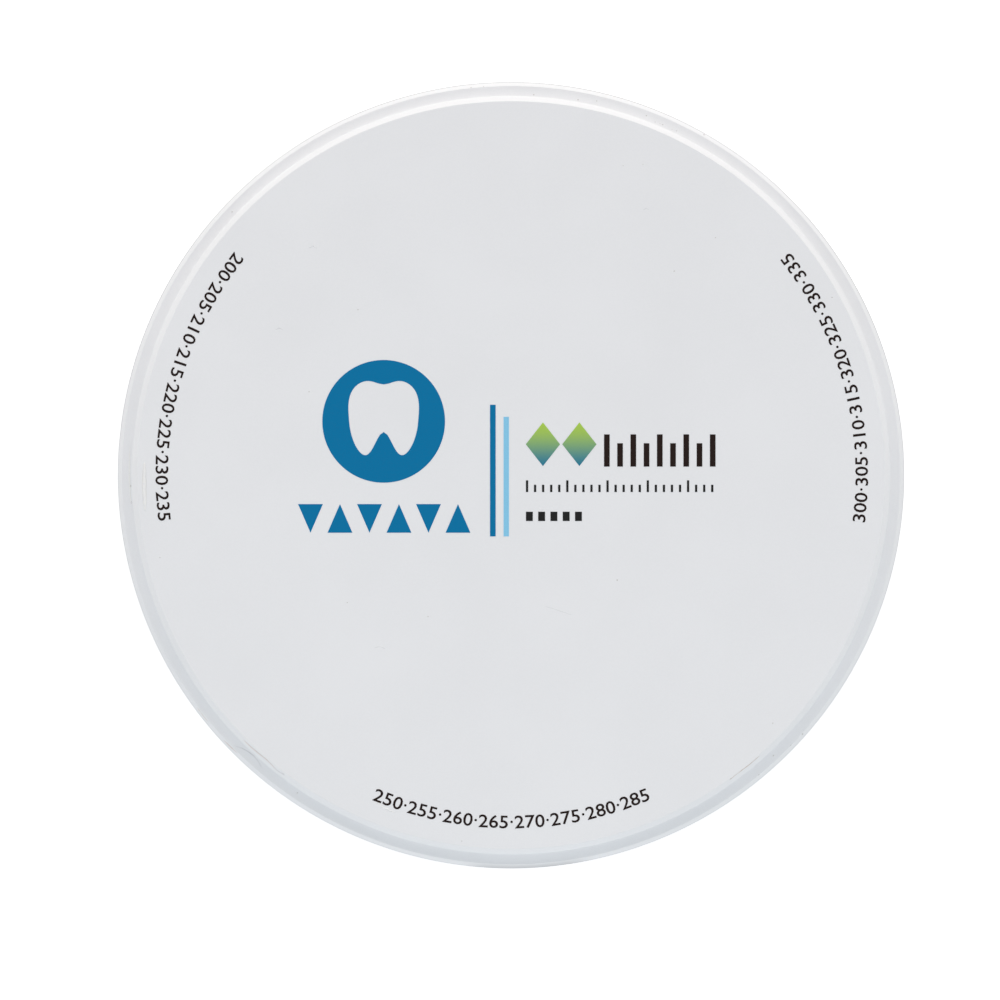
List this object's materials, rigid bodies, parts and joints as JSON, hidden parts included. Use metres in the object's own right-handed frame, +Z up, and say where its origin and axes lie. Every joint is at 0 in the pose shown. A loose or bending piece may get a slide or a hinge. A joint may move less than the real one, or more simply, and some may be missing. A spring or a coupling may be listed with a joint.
{
  "type": "dental milling disc",
  "caption": "Round ceramic blank that a dental mill cuts crowns from: a flange that the holder clamps, with a slightly narrower raised face on each side.",
  "frame": {"origin": "centre of the lower face, which the disc rests on", "axes": "+Z up along the disc's axis, out of the printed face; +Y towards the top of the print, +X to its right"},
  "size_m": [0.098, 0.098, 0.014],
  "materials": {
    "zirconia": "matte"
  },
  "bodies": {
    "root": {"milling_disc": "zirconia"}
  },
  "joints": []
}
